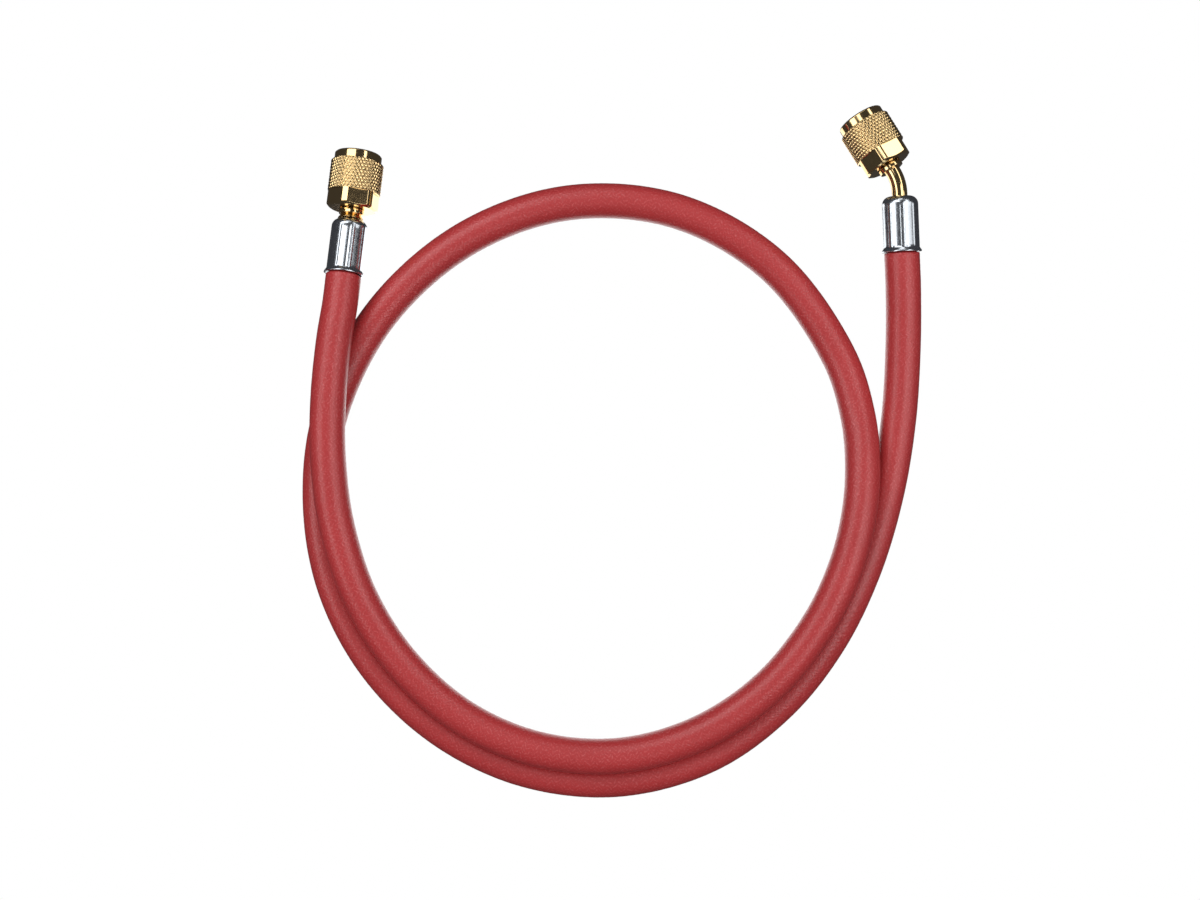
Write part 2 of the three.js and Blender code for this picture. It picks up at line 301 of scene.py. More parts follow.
# Levels of the tails, from the lip
COLLAR_STRAIGHT = FERRULE_LENGTH + FIT_GAP + FOOT_LENGTH
BEND_START = FERRULE_LENGTH + TUBE_BEFORE_BEND
COLLAR_ELBOW = BEND_START + BEND_RADIUS * BEND_ANGLE + TUBE_AFTER_BEND
COLLAR_TO_NUT = COLLAR_LENGTH + FIT_GAP
NUT_TO_HEAD_FRONT = NUT_BACK_WALL + FIT_GAP + HEAD_LENGTH
STRAIGHT_NUT_FRAME = turned(along(STRAIGHT_LIP, COLLAR_STRAIGHT + COLLAR_TO_NUT), STRAIGHT_NUT_TURN)
ELBOW_NUT_FRAME = turned(bent_frame(ELBOW_LIP, COLLAR_ELBOW + COLLAR_TO_NUT, BEND_START), ELBOW_NUT_TURN)


# Meshes


def grid_faces(rows, columns, heights=None):
    """Triangles of a grid that closes on itself across its columns. Each square is split along the
    diagonal whose ends are lower in heights, so a groove that runs through corners stays sharp."""
    a = np.arange(rows * columns).reshape(rows, columns)
    b = np.roll(a, -1, axis=1)
    p, q, r, s = a[:-1].ravel(), b[:-1].ravel(), b[1:].ravel(), a[1:].ravel()
    if heights is None:
        flip = np.zeros(len(p), bool)
    else:
        h = heights.ravel()
        flip = h[q] + h[s] < h[p] + h[r] - 1e-9
    one = np.where(flip[:, None], np.stack([p, q, s], 1), np.stack([p, q, r], 1))
    two = np.where(flip[:, None], np.stack([q, r, s], 1), np.stack([p, r, s], 1))
    return np.concatenate([one, two])


def loop_uv(uv, faces, wrap):
    """UV of each face corner, with the wrap added where a face crosses the seam of a closed grid."""
    corner = uv[faces]
    for k, size in enumerate(wrap):
        part = corner[..., k]
        crosses = np.ptp(part, axis=1, keepdims=True) > size / 2
        corner[..., k] = part + size * (crosses & (part < size / 2))
    return corner.reshape(-1, 2)


def mesh_piece(name, points, faces, material, body, uv=None, wrap=(1, 1)):
    """A finished piece: a smooth closed mesh at the origin that rides on a body and stands for the CAD node
    of its name."""
    mesh = bpy.data.meshes.new(name)
    mesh.vertices.add(len(points))
    mesh.vertices.foreach_set("co", np.ascontiguousarray(points, np.float32).ravel())
    mesh.loops.add(faces.size)
    mesh.loops.foreach_set("vertex_index", faces.astype(np.int32).ravel())
    mesh.polygons.add(len(faces))
    mesh.polygons.foreach_set("loop_start", np.arange(0, faces.size, faces.shape[1], dtype=np.int32))
    mesh.polygons.foreach_set("use_smooth", np.ones(len(faces), bool))
    mesh.update(calc_edges=True)
    if uv is not None:
        layer = mesh.uv_layers.new(name="UVMap")
        layer.data.foreach_set("uv", loop_uv(uv, faces, wrap).astype(np.float32).ravel())
    if mesh.validate():
        raise RuntimeError(f"{name} had broken faces")
    mesh.materials.append(material)
    piece = bpy.data.objects.new(f"{name}_finish", mesh)
    bpy.context.scene.collection.objects.link(piece)
    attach(piece, body)
    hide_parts(name)
    return piece


def welded(piece):
    """Merges the vertices that meet at a pole."""
    b = bmesh.new()
    b.from_mesh(piece.data)
    bmesh.ops.remove_doubles(b, verts=b.verts, dist=1e-7)
    b.to_mesh(piece.data)
    b.free()
    return piece


# A support row's distance from its corner, in roundings
SUPPORT = 1.5


def outline_rows(corners, rounding):
    """The rows of a closed outline of (radius, height, spacing) corners. Each corner becomes a quadratic arc
    with a support row on both sides, and the side after it gets rows no further apart than its spacing."""
    p = np.array([c[:2] for c in corners], float)
    gaps = np.array([c[2] if len(c) > 2 else 1.0 for c in corners])
    before, after = np.roll(p, 1, axis=0) - p, np.roll(p, -1, axis=0) - p
    lb, la = (np.linalg.norm(v, axis=1, keepdims=True) for v in (before, after))
    reach = np.minimum(rounding, 0.3 * np.minimum(lb, la))
    start, end = before / lb * reach, after / la * reach
    rows = []
    for i in range(len(p)):
        nxt = (i + 1) % len(p)
        rows += [p[i] + SUPPORT * start[i], p[i] + start[i]]
        rows += [p[i] + 0.25 * (start[i] + end[i]), p[i] + end[i]]
        first, last = p[i] + SUPPORT * end[i], p[nxt] + SUPPORT * start[nxt]
        count = max(1, math.ceil(np.linalg.norm(last - first) / gaps[i]))
        rows += [first + (last - first) * k / count for k in range(count)]
    return np.array(rows)


def lathe(rows, columns, shape=None):
    """An outline turned round +Z: x = r cos a, y = r sin a, z = the row's height. shape(r, z, a) gives
    another radius."""
    a = np.broadcast_to(np.arange(columns) * 2 * np.pi / columns, (len(rows), columns))
    r = np.repeat(rows[:, :1], columns, axis=1)
    z = np.repeat(rows[:, 1:], columns, axis=1)
    if shape is not None:
        r = shape(r, z, a)
    points = np.stack([r * np.cos(a), r * np.sin(a), z], -1).reshape(-1, 3)
    faces = grid_faces(len(rows) + 1, columns, np.vstack([r, r[:1]])) % len(points)
    return points, faces


def step(x, low, high):
    """A smooth step from 0 at low to 1 at high: 3 t squared less 2 t cubed."""
    t = np.clip((x - low) / (high - low), 0, 1)
    return t * t * (3 - 2 * t)


def folded(a, count):
    """Angle from the middle of the nearest of count equal sectors, the first of which is centred on +X."""
    sector = 2 * np.pi / count
    return (a + sector / 2) % sector - sector / 2


# Node groups and materials


class Nodes:
    """Short calls for making and joining the nodes of one tree."""

    def __init__(self, tree):
        self.tree = tree

    def put(self, value, socket):
        if isinstance(value, bpy.types.NodeSocket):
            self.tree.links.new(value, socket)
        else:
            socket.default_value = value

    def add(self, kind, values=None, **settings):
        node = self.tree.nodes.new(kind)
        for key, value in settings.items():
            setattr(node, key, value)
        for socket, value in (values or {}).items():
            self.put(value, node.inputs[socket])
        return node

    def math(self, operation, a, b=0.0):
        return self.add("ShaderNodeMath", {0: a, 1: b}, operation=operation).outputs[0]

    def noise(self, vector, scale, detail=2.0, roughness=0.5):
        values = {"Vector": vector, "Scale": scale, "Detail": detail, "Roughness": roughness}
        return self.add("ShaderNodeTexNoise", values).outputs["Fac"]

    def ramp(self, value, low, high, to_low=0.0, to_high=1.0):
        values = {"Value": value, "From Min": low, "From Max": high, "To Min": to_low, "To Max": to_high}
        return self.add("ShaderNodeMapRange", values).outputs["Result"]

    def mix(self, factor, a, b):
        node = self.add("ShaderNodeMix", data_type="RGBA")
        inputs = [s for s in node.inputs if s.enabled]
        for socket, value in zip(inputs, (factor, a, b)):
            self.put(value, socket)
        return next(s for s in node.outputs if s.enabled)

    def bump(self, height, strength, distance):
        values = {"Height": height, "Strength": strength, "Distance": distance}
        return self.add("ShaderNodeBump", values).outputs["Normal"]


def node_group(name, inputs, outputs):
    """A shader node group with named sockets: its nodes, its input sockets and its output sockets."""
    group = bpy.data.node_groups.new(name, "ShaderNodeTree")
    for socket, kind in inputs:
        group.interface.new_socket(name=socket, in_out="INPUT", socket_type=kind)
    for socket in outputs:
        group.interface.new_socket(name=socket, in_out="OUTPUT", socket_type="NodeSocketFloat")
    return Nodes(group), group.nodes.new("NodeGroupInput").outputs, group.nodes.new("NodeGroupOutput").inputs


def grain_group():
    """Grain: noise of two sizes as a height about one half, a mask of specks, and a slow cloud."""
    inputs = [("Vector", "NodeSocketVector"), ("Scale", "NodeSocketFloat"), ("Specks", "NodeSocketFloat")]
    n, given, out = node_group("Grain", inputs, ["Height", "Mask", "Cloud"])
    fine = n.noise(given["Vector"], given["Scale"], 3.0, 0.6)
    coarse = n.noise(given["Vector"], n.math("MULTIPLY", given["Scale"], 0.21))
    cloud = n.noise(given["Vector"], n.math("MULTIPLY", given["Scale"], 0.05))
    n.put(n.math("ADD", n.math("MULTIPLY", fine, 0.6), n.math("MULTIPLY", coarse, 0.4)), out["Height"])
    n.put(n.ramp(fine, given["Specks"], n.math("ADD", given["Specks"], 0.12)), out["Mask"])
    n.put(cloud, out["Cloud"])
    return n.tree


def cloth_group():
    """Cloth: the mark of a woven wrapping on rubber. With u round and v along the hose, counted in threads,
    waves along u + v and u - v take turns down the hose as a herringbone, broken up by noise."""
    n, given, out = node_group("Cloth", [("UV", "NodeSocketVector")], ["Height", "Thread"])
    split = n.add("ShaderNodeSeparateXYZ", {"Vector": given["UV"]}).outputs
    shift = n.math("MULTIPLY", n.math("SUBTRACT", n.noise(given["UV"], 0.8), 0.5), 2.2)
    turn = 2 * math.pi
    left = n.math("ADD", n.math("ADD", split["X"], split["Y"]), shift)
    right = n.math("SUBTRACT", n.math("SUBTRACT", split["X"], split["Y"]), shift)
    waves = [n.math("COSINE", n.math("MULTIPLY", phase, turn)) for phase in (left, right)]
    bands = n.math("COSINE", n.math("MULTIPLY", split["Y"], turn / 2))
    first = n.math("MULTIPLY", waves[0], n.ramp(bands, -0.4, 0.4))
    second = n.math("MULTIPLY", waves[1], n.ramp(bands, 0.4, -0.4))
    weave = n.math("ADD", first, second)
    broken = n.noise(given["UV"], 2.2, 2.0, 0.6)
    n.put(n.math("ADD", n.math("MULTIPLY", weave, 0.15), n.math("MULTIPLY", broken, 0.8)), out["Height"])
    n.put(n.math("MULTIPLY", n.ramp(weave, 0.1, 1.0), n.ramp(broken, 0.42, 0.62)), out["Thread"])
    return n.tree


def shared_group(name):
    """The node group of that name, made on first use."""
    makers = {"Grain": grain_group, "Cloth": cloth_group}
    return bpy.data.node_groups.get(name) or makers[name]()


def new_material(name, **settings):
    """An empty Principled material: itself, its nodes, its shader and its Texture Coordinate outputs."""
    material = bpy.data.materials.new(name)
    material.use_nodes = True
    nodes = Nodes(material.node_tree)
    shader = material.node_tree.nodes["Principled BSDF"].inputs
    for socket, value in settings.items():
        shader[socket.replace("_", " ")].default_value = value
    return material, nodes, shader, nodes.add("ShaderNodeTexCoord").outputs


def grain_node(n, coords, scale, specks):
    """A Grain group on Object coordinates."""
    node = n.add("ShaderNodeGroup", node_tree=shared_group("Grain"))
    for socket, value in (("Vector", coords["Object"]), ("Scale", scale), ("Specks", specks)):
        n.put(value, node.inputs[socket])
    return node.outputs


def tone(colour, factor=1.0):
    """A colour made lighter or darker, with alpha."""
    return (*[min(1.0, c * factor) for c in colour], 1.0)


# Painted highlight: the pink of a highlight speck, mixed into the rubber's colour along the cloth's threads
THREAD_HIGHLIGHT_PINK = (0.62, 0.13, 0.13, 1.0)
SEAL_DARK = (0.012, 0.012, 0.013, 1.0)
SEAL_LIGHT = (0.03, 0.03, 0.032, 1.0)


def rubber_material(colour):
    """Rubber with the cloth's mark: duller along its threads, with painted pink highlight specks mixed into
    the colour there, and a fine grain.
    """
    material, n, shader, coords = new_material("Red cloth-marked rubber", Specular_IOR_Level=0.5)
    cloth = n.add("ShaderNodeGroup", node_tree=shared_group("Cloth"))
    n.put(coords["UV"], cloth.inputs["UV"])
    grain = grain_node(n, coords, scale=900.0, specks=0.6)
    cloudy = n.mix(grain["Cloud"], tone(colour, 0.88), tone(colour, 1.1))
    # Painted highlight specks: the base colour turns pink along the threads
    thread_highlight = n.mix(n.math("MULTIPLY", cloth.outputs["Thread"], 0.6), cloudy, THREAD_HIGHLIGHT_PINK)
    n.put(thread_highlight, shader["Base Color"])
    n.put(n.ramp(cloth.outputs["Height"], 0.0, 0.6, 0.42, 0.28), shader["Roughness"])
    height = n.math("ADD", cloth.outputs["Height"], n.math("MULTIPLY", grain["Height"], 0.9))
    n.put(n.bump(height, strength=0.75, distance=0.13 * MM), shader["Normal"])
    return material


def brass_material(colour):
    """Bright brass with a slow cloud and small darker specks."""
    material, n, shader, coords = new_material("Turned brass", Metallic=1.0)
    grain = grain_node(n, coords, scale=2200.0, specks=0.6)
    cloudy = n.mix(grain["Cloud"], tone(colour, 0.94), tone(colour, 1.05))
    n.put(n.mix(n.math("MULTIPLY", grain["Mask"], 0.15), cloudy, tone(colour, 0.7)), shader["Base Color"])
    n.put(n.ramp(grain["Height"], 0.3, 0.7, 0.07, 0.15), shader["Roughness"])
    n.put(n.bump(grain["Height"], strength=0.06, distance=0.02 * MM), shader["Normal"])
    return material


def zinc_material(colour):
    """Bright plating, grainier than the brass, with small lighter specks."""
    material, n, shader, coords = new_material("Bright zinc plating", Metallic=1.0)
    grain = grain_node(n, coords, scale=2600.0, specks=0.52)
    cloudy = n.mix(grain["Cloud"], tone(colour, 0.92), tone(colour, 1.08))
    n.put(n.mix(n.math("MULTIPLY", grain["Mask"], 0.4), cloudy, tone(colour, 1.35)), shader["Base Color"])
    n.put(n.ramp(grain["Height"], 0.3, 0.7, 0.16, 0.3), shader["Roughness"])
    n.put(n.bump(grain["Height"], strength=0.3, distance=0.04 * MM), shader["Normal"])
    return material


def seal_material():
    """Dull black rubber with a slow cloud."""
    material, n, shader, coords = new_material("Black seal rubber")
    grain = grain_node(n, coords, scale=1800.0, specks=0.6)
    n.put(n.mix(grain["Cloud"], SEAL_DARK, SEAL_LIGHT), shader["Base Color"])
    n.put(n.ramp(grain["Height"], 0.3, 0.7, 0.5, 0.7), shader["Roughness"])
    n.put(n.bump(grain["Height"], strength=0.3, distance=0.05 * MM), shader["Normal"])
    return material


def shared_material(scene, name):
    """The material of that name, made on first use from the scene's settings."""
    makers = {
        "Red cloth-marked rubber": lambda: rubber_material(scene.hose_settings.colour),
        "Turned brass": lambda: brass_material(scene.brass_settings.colour),
        "Bright zinc plating": lambda: zinc_material(scene.ferrule_settings.colour),
        "Black seal rubber": seal_material,
    }
    return bpy.data.materials.get(name) or makers[name]()


# Hose

HOSE_COLUMNS = 38
HOSE_RINGS = 2200
BORE_RINGS = 150
SQUEEZED_RINGS = 5
EDGE_RADIUS = 0.4 * MM
# The skin's ribs: rings in one, zigzags round the hose, their slant in ribs, and the rings they fade over
RIB_RINGS = 4
RIB_ZIGZAGS = 3
RIB_SLANT = 2.2
RIB_FADE = 6
# Patches of strong and weak ribs
PATCH_SEED = 5
PATCH_CONTRAST = 5


def rings(route, tangent, radii):
    """Rings round a route: at each route point, the radius times (cos a, sin a) on the level and the upward
    axis across the tangent, with a starting underneath."""
    level = unit(np.cross((0, 0, 1), tangent))
    up = np.cross(tangent, level)
    a = np.arange(radii.shape[1]) * 2 * np.pi / radii.shape[1] - np.pi / 2
    ring = np.cos(a)[None, :, None] * level[:, None] + np.sin(a)[None, :, None] * up[:, None]
    return route[:, None] + radii[..., None] * ring


def stub_rows(settings, ferrule_diameter):
    """(radius, distance past the lip) of the squeezed end of the hose, from the lip inwards."""
    outer = ferrule_diameter / 2 - FERRULE_WALL - FIT_GAP
    end = FERRULE_LENGTH - FERRULE_TOP_WALL - FIT_GAP
    full = settings.diameter / 2
    return np.array([
        (full - 0.3 * EDGE_RADIUS, -FIT_GAP - 0.3 * EDGE_RADIUS), (full - EDGE_RADIUS, -FIT_GAP),
        (outer + FIT_GAP, -FIT_GAP), (outer, 0.0), (outer, end / 2), (outer, end - CORNER_CHAMFER),
        (outer - CORNER_CHAMFER, end),
    ])


def hose_line(settings, ferrule_diameter):
    """The hose's middle line with both squeezed ends, its tangents, and the rows of an end."""
    stub = stub_rows(settings, ferrule_diameter)
    skin = evenly(ROUTE, HOSE_RINGS, EDGE_RADIUS)
    past = stub[:, 1:]
    head = STRAIGHT_LIP[:3, 3] + past[::-1] * STRAIGHT_LIP[:3, 2]
    tail = ELBOW_LIP[:3, 3] + past * ELBOW_LIP[:3, 2]
    tangents = np.concatenate([
        np.repeat(-STRAIGHT_LIP[None, :3, 2], len(past), axis=0),
        unit(np.gradient(skin, axis=0)),
        np.repeat(ELBOW_LIP[None, :3, 2], len(past), axis=0),
    ])
    return np.concatenate([head, skin, tail]), tangents, stub


def patches(rows, columns):
    """Soft random patches from 0 to 1: seeded noise averaged with its neighbours, then with more contrast."""
    field = np.random.default_rng(PATCH_SEED).random((rows, columns))
    for axis in (0, 0, 0, 1):
        field = (np.roll(field, 1, axis) + 2 * field + np.roll(field, -1, axis)) / 4
    return np.clip(0.5 + PATCH_CONTRAST * (field - 0.5), 0, 1)


def hose_mesh(settings, ferrule_diameter):
    """Skin, squeezed ends and bore as one closed grid: rings forward along the outside, then back along the
    bore. The skin's ribs are a cosine along the hose whose phase zigzags round it, as in a herringbone, and
    they are strong and weak in patches."""
    line, tangents, stub = hose_line(settings, ferrule_diameter)
    ring, column = np.arange(HOSE_RINGS)[:, None], np.arange(HOSE_COLUMNS)[None]
    fade = np.minimum(1, np.minimum(ring, HOSE_RINGS - 1 - ring) / RIB_FADE)
    zigzag = np.abs((column * RIB_ZIGZAGS / HOSE_COLUMNS + 0.5) % 1 - 0.5) * 2
    rib = 0.5 - 0.5 * np.cos(2 * np.pi * (ring / RIB_RINGS + RIB_SLANT * zigzag))
    rib = rib * patches(HOSE_RINGS, HOSE_COLUMNS)
    skin = settings.diameter / 2 - settings.relief * rib * fade
    ends = np.repeat(stub[:, :1], HOSE_COLUMNS, axis=1)
    outside = rings(line, tangents, np.concatenate([ends[::-1], skin, ends]))
    inner = evenly(line, BORE_RINGS)
    inner_tangents = unit(np.gradient(inner, axis=0))
    squeezed = np.minimum(np.arange(BORE_RINGS), np.arange(BORE_RINGS)[::-1]) < SQUEEZED_RINGS
    bore = settings.bore / 2 - np.where(squeezed, BORE_SQUEEZE / 2, 0)
    bore = np.repeat(bore[:, None], HOSE_COLUMNS, axis=1)
    inside = rings(inner, inner_tangents, bore)[::-1]
    points = np.concatenate([outside, inside])
    faces = grid_faces(len(points) + 1, HOSE_COLUMNS) % (len(points) * HOSE_COLUMNS)
    thread = np.pi * settings.diameter / settings.marks
    reached = np.concatenate([arc_lengths(line), arc_lengths(line)[-1] + arc_lengths(inner)]) / thread
    around = np.arange(HOSE_COLUMNS) * settings.marks / HOSE_COLUMNS
    uv = np.stack(np.broadcast_arrays(around[None], reached[:, None]), -1).reshape(-1, 2)
    return points.reshape(-1, 3), faces, uv, (settings.marks, reached[-1])


class HOSE_OT_hose(Operator):
    """Lay the rubber hose along its route"""

    bl_idname = "charging.hose"
    bl_label = "Hose"

    def execute(self, context):
        scene = context.scene
        settings, ferrule = scene.hose_settings, scene.ferrule_settings
        points, faces, uv, wrap = hose_mesh(settings, ferrule.diameter)
        rubber = shared_material(scene, "Red cloth-marked rubber")
        mesh_piece("hose", points, faces, rubber, "hose_assembly", uv, wrap)
        return {"FINISHED"}


# Ferrules

FERRULE_COLUMNS = 384
STRAIGHT_CRIMP_TURN = math.radians(-3)
ELBOW_CRIMP_SHARE = 0.6
# Where the wall starts to go down beside a ridge, and where it is fully pressed
RIDGE_EDGE = math.radians(3.5)
RIDGE_FOOT = math.radians(10)
SCALLOP = 0.07 * MM


def ferrule_mesh(settings, tube, matrix, depth, phase):
    """A cup with a flared lip and a domed end. Between the ridges the wall is pressed in by the depth, times
    a smooth step away from each ridge and one at both ends of the crimps. A cosine round the lip, with one
    wave for each crimp, scallops it."""
    outer = settings.diameter / 2
    inner = outer - FERRULE_WALL
    roof = FERRULE_LENGTH - FERRULE_TOP_WALL
    tube_hole = tube / 2 + FIT_GAP
    dome = [
        (outer - SHOULDER_RADIUS * (1 - math.cos(t)), FERRULE_LENGTH - SHOULDER_RADIUS * (1 - math.sin(t)))
        for t in np.linspace(0, math.pi / 2, 9)
    ]
    corners = [
        (inner + LIP_RISE, 0), (outer + LIP_RISE, 0), (outer + LIP_RISE, LIP_LENGTH, 0.3 * MM),
        (outer, LIP_LENGTH + LIP_TAPER, 0.4 * MM), *dome, (tube_hole, FERRULE_LENGTH), (tube_hole, roof),
        (inner - CORNER_CHAMFER, roof), (inner, roof - CORNER_CHAMFER, 3 * MM),
        (inner, LIP_LENGTH + LIP_TAPER, 0.5 * MM),
    ]
    rows = outline_rows(corners, 0.15 * MM)

    def shape(r, z, a):
        off_ridge = np.pi / settings.crimps - np.abs(folded(a - phase, settings.crimps))
        pressed = step(off_ridge, RIDGE_EDGE, RIDGE_FOOT)
        dome_start = FERRULE_LENGTH - CRIMP_DOME_MARGIN
        reach = step(z, CRIMP_LIP_MARGIN - 0.5 * MM, CRIMP_LIP_MARGIN + 0.7 * MM)
        reach = reach * (1 - step(z, dome_start - 0.8 * MM, dome_start + 0.8 * MM))
        outside = r > outer - 0.6 * MM
        scallop = SCALLOP * np.cos(settings.crimps * (a - phase)) * (1 - step(z, 0, CRIMP_LIP_MARGIN))
        return r - depth * pressed * reach * outside + scallop

    points, faces = lathe(rows, FERRULE_COLUMNS, shape)
    return placed(points, matrix), faces


class HOSE_OT_ferrules(Operator):
    """Crimp a zinc-plated ferrule on each end of the hose"""

    bl_idname = "charging.ferrules"
    bl_label = "Ferrules"

    def execute(self, context):
        settings = context.scene.ferrule_settings
        tube = context.scene.brass_settings.tube
        zinc = shared_material(context.scene, "Bright zinc plating")
        ends = (
            ("straight_ferrule", STRAIGHT_LIP, settings.crimp_depth, STRAIGHT_CRIMP_TURN),
            ("elbow_ferrule", ELBOW_LIP, ELBOW_CRIMP_SHARE * settings.crimp_depth, 0.0),
        )
        for name, matrix, depth, phase in ends:
            points, faces = ferrule_mesh(settings, tube, matrix, depth, phase)
            mesh_piece(name, points, faces, zinc, "hose_assembly")
        return {"FINISHED"}


# Tails

TAIL_COLUMNS = 96


def tail_rows(settings, bore, collar_start, is_bent):
    """The outline of a tail: barbed stem, tube, foot or bend, collar, neck, head, nipple and seat."""
    barb = (bore - BORE_SQUEEZE) / 2 - FIT_GAP
    stem = barb - BARB_HEIGHT
    passage = stem - STEM_WALL
    tube = settings.tube / 2
    neck = tube + NECK_RISE
    collar = neck + COLLAR_RISE
    stem_end = FERRULE_LENGTH - FERRULE_TOP_WALL
    pitch = (stem_end - STEM_START) / (BARB_COUNT + 1)
    collar_end = collar_start + COLLAR_LENGTH
    head_back = collar_end + FIT_GAP + NUT_BACK_WALL + FIT_GAP
    head_front = head_back + HEAD_LENGTH
    tip = head_front + NIPPLE_LENGTH
    head = THREAD_BORE / 2 - SWIVEL_GAP
    barbs = []
    for i in range(1, BARB_COUNT + 1):
        barbs += [(barb, STEM_START + i * pitch), (stem, STEM_START + i * pitch + 0.02 * MM)]
    if is_bent:
        rise = [(tube, BEND_START, 0.5 * MM), (tube, collar_start)]
    else:
        rise = [
            (tube, FERRULE_LENGTH + FIT_GAP), (neck + FOOT_RISE, FERRULE_LENGTH + FIT_GAP),
            (neck + 0.2 * MM, collar_start - 0.25 * MM), (neck - 0.1 * MM, collar_start),
        ]
    corners = [
        (passage, STEM_START), (stem, STEM_START), *barbs, (stem, stem_end), (tube, stem_end), *rise,
        (collar, collar_start), (collar, collar_end), (neck, collar_end), (neck, head_back),
        (head, head_back), (head, head_front - HEAD_CHAMFER), (head - HEAD_CHAMFER, head_front),
        (NIPPLE / 2, head_front), (NIPPLE / 2, tip), (NIPPLE / 2 - NIPPLE_WALL, tip),
        (NIPPLE / 2 - NIPPLE_WALL, tip - SEAT_DEPTH), (passage, tip - SEAT_DEPTH, 0.5 * MM),
    ]
    return outline_rows(corners, 0.12 * MM)


class HOSE_OT_tails(Operator):
    """Turn the brass tails, one straight and one bent"""

    bl_idname = "charging.tails"
    bl_label = "Tails"

    def execute(self, context):
        scene = context.scene
        brass = shared_material(scene, "Turned brass")
        settings, bore = scene.brass_settings, scene.hose_settings.bore
        points, faces = lathe(tail_rows(settings, bore, COLLAR_STRAIGHT, False), TAIL_COLUMNS)
        mesh_piece("straight_tail", placed(points, STRAIGHT_LIP), faces, brass, "hose_assembly")
        points, faces = lathe(tail_rows(settings, bore, COLLAR_ELBOW, True), TAIL_COLUMNS)
        points = placed(bent(points, BEND_START), ELBOW_LIP)
        mesh_piece("elbow_tail", points, faces, brass, "hose_assembly")
        return {"FINISHED"}


# Flare nuts

COLUMNS_PER_LINE = 9
CREST_GAIN = 1.2


def nut_mesh(settings, matrix):
    """A hexagon, a diamond-knurled grip and a mouth collar over a threaded bore. The hexagon is the smaller
    of the bar's radius and the flats' distance over the cosine. The knurl's two hands of V grooves are
    triangle waves of the angle plus and less the height. The lower of the two, times a gain and at most one,
    which flattens the crests, is the share of the knurl's depth that stays. The thread is a triangle wave of
    the height over the pitch plus the angle over a turn, cut off at both its ends."""
    bar, knurl, hexagon = settings.bar / 2, settings.knurl / 2, settings.flats / 2
    hole = settings.tube / 2 + NECK_RISE + SWIVEL_GAP
    bore = THREAD_BORE / 2
    knurl_end = HEX_LENGTH + KNURL_LENGTH
    knurl_repeat = 2 * np.pi * knurl / settings.knurl_lines / math.tan(settings.knurl_angle)
    knurl_gap = knurl_repeat / COLUMNS_PER_LINE
    knurl_start = HEX_LENGTH + knurl - bar
    mouth = bar - MOUTH_COLLAR_STEP
    rounding = 0.1 * MM
    corners = [
        (hole, 0), (hexagon - BACK_FACE_INSET, 0, 0.1 * MM), (bar, BACK_CHAMFER, 3 * MM),
        (bar, HEX_LENGTH - 0.04 * MM), (bar, HEX_LENGTH), (knurl, knurl_start, knurl_gap),
        (knurl, knurl_end - KNURL_CHAMFER, 0.1 * MM), (knurl - KNURL_CHAMFER, knurl_end), (mouth, knurl_end),
        (mouth, NUT_LENGTH - MOUTH_CHAMFER), (mouth - MOUTH_CHAMFER, NUT_LENGTH),
        (bore + THREAD_LEAD, NUT_LENGTH, 0.2 * MM), (bore, NUT_LENGTH - THREAD_LEAD, THREAD_PITCH / 5),
        (bore, NUT_BACK_WALL), (hole, NUT_BACK_WALL),
    ]
    rows = outline_rows(corners, rounding)
    first = knurl_start + SUPPORT * rounding
    span = knurl_end - KNURL_CHAMFER - SUPPORT * rounding - first
    repeat = span / math.ceil(span / knurl_gap) * COLUMNS_PER_LINE

    def shape(r, z, a):
        flat = hexagon / np.cos(folded(a, 6))
        round_line = a * settings.knurl_lines / (2 * np.pi)
        hands = [(round_line + side * (z - first) / repeat) % 1 for side in (1, -1)]
        crest = np.minimum(1, CREST_GAIN * np.minimum(*[1 - np.abs(2 * hand - 1) for hand in hands]))
        gripped = knurl - settings.knurl_depth * (1 - crest)
        screw = (z / THREAD_PITCH + a / (2 * np.pi)) % 1
        thread = bore + (THREAD_MAJOR - THREAD_BORE) / 2 * np.clip(1.5 - np.abs(4 * screw - 2) * 1.2, 0, 1)
        in_hex = (z < HEX_LENGTH - 0.02 * MM) & (r > hole + MM)
        in_knurl = (z > HEX_LENGTH + 0.02 * MM) & (z < knurl_end) & (r > mouth + 0.1 * MM)
        thread_end = NUT_LENGTH - THREAD_LEAD - 0.2 * MM
        in_bore = (r < bore + 0.01 * MM) & (z > NUT_BACK_WALL + MM) & (z < thread_end)
        r = np.where(in_hex, np.minimum(r, flat), r)
        r = np.where(in_knurl, np.minimum(r, gripped), r)
        return np.where(in_bore, thread, r)

    points, faces = lathe(rows, COLUMNS_PER_LINE * settings.knurl_lines, shape)
    return placed(points, matrix), faces


class HOSE_OT_nuts(Operator):
    """Cut the two knurled flare nuts"""

    bl_idname = "charging.nuts"
    bl_label = "Flare nuts"

    def execute(self, context):
        brass = shared_material(context.scene, "Turned brass")
        for name, matrix in (("straight_nut", STRAIGHT_NUT_FRAME), ("elbow_nut", ELBOW_NUT_FRAME)):
            points, faces = nut_mesh(context.scene.brass_settings, matrix)
            mesh_piece(name, points, faces, brass, name)
        return {"FINISHED"}


# Seal rings and core depressor

RING_COLUMNS = 96
RING_ROUNDING = 0.45 * MM
DEPRESSOR_COLUMNS = 32
DEPRESSOR_ROWS = 15


def seal_mesh(matrix):
    """A flat ring with rounded corners, turned round +Z."""
    corners = [
        (RING_INNER / 2, 0), (RING_OUTER / 2, 0), (RING_OUTER / 2, RING_THICKNESS),
        (RING_INNER / 2, RING_THICKNESS),
    ]
    points, faces = lathe(outline_rows(corners, RING_ROUNDING), RING_COLUMNS)
    return placed(points, matrix), faces


